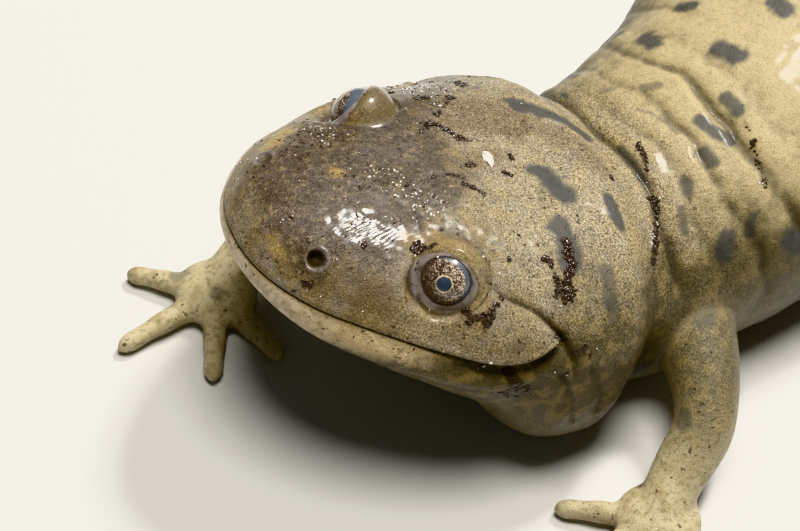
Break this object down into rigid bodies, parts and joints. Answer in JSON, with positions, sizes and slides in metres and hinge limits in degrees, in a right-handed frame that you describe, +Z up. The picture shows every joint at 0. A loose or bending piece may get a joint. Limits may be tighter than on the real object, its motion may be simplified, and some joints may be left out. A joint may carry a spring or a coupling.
{
  "type": "life-size tiger salamander model",
  "caption": "Still, life-size tiger salamander in a low walking stance, head lifted, belly and tail on the ground, blotched olive skin.",
  "frame": {"origin": "centre of the animal's outer box, at the level of the ground that it rests on", "axes": "+X towards the head along the animal's length, +Y to its left, +Z up"},
  "size_m": [0.2128, 0.1158, 0.0236],
  "materials": {
    "skin": "moist, semi-gloss, olive brown with slate blotches",
    "eye": "wet gloss"
  },
  "bodies": {
    "root": {"head": "skin", "lower_jaw": "skin", "eye_left": "eye", "eye_right": "eye", "neck": "skin", "torso_front": "skin", "torso_middle": "skin", "torso_rear": "skin", "tail_base": "skin", "tail_middle": "skin", "tail_tip": "skin", "fore_left_upper_arm": "skin", "fore_left_forearm": "skin", "fore_left_foot": "skin", "fore_right_upper_arm": "skin", "fore_right_forearm": "skin", "fore_right_foot": "skin", "hind_left_thigh": "skin", "hind_left_shank": "skin", "hind_left_foot": "skin", "hind_right_thigh": "skin", "hind_right_shank": "skin", "hind_right_foot": "skin"}
  },
  "joints": []
}
